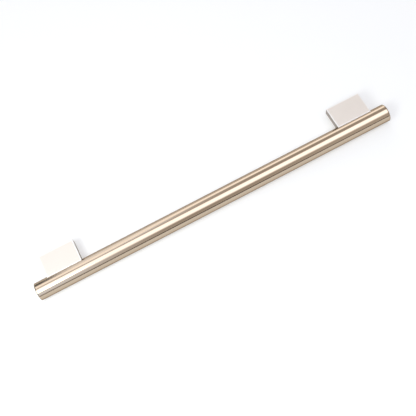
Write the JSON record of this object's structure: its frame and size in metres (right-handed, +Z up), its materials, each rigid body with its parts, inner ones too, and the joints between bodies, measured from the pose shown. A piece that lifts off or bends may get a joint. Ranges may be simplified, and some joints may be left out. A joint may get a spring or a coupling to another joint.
{
  "type": "oven door handle",
  "caption": "Straight pull handle for an oven door: a round brushed steel bar carried by flat rectangular brackets with threaded holes for door screws.",
  "frame": {"origin": "on the door's plane, midway between the two fixing holes and on their axis height", "axes": "+X along the bar to the right as the picture shows it, +Y from the bar towards the door, +Z up, out of the face that the picture shows"},
  "size_m": [0.474, 0.048, 0.022],
  "materials": {
    "bar_steel": "fine satin polish with the grain round the bar, warm champagne tone",
    "cap_steel": "turned satin face",
    "bracket_steel": "even satin, finely blasted, edges broken",
    "clamp_steel": "milled, bright zinc plated",
    "screw_steel": "bright zinc plated",
    "washer_steel": "plain spring steel"
  },
  "bodies": {
    "root": {"bar_tube": "bar_steel", "end_cap_left": "cap_steel", "end_cap_right": "cap_steel", "bracket_left": "bracket_steel", "bracket_right": "bracket_steel", "clamp_bar_left": "clamp_steel", "clamp_bar_right": "clamp_steel", "bar_screw_left_outer": "screw_steel", "bar_screw_left_inner": "screw_steel", "bar_screw_right_outer": "screw_steel", "bar_screw_right_inner": "screw_steel", "spring_washer_left_outer": "washer_steel", "spring_washer_left_inner": "washer_steel", "spring_washer_right_outer": "washer_steel", "spring_washer_right_inner": "washer_steel"}
  },
  "joints": []
}
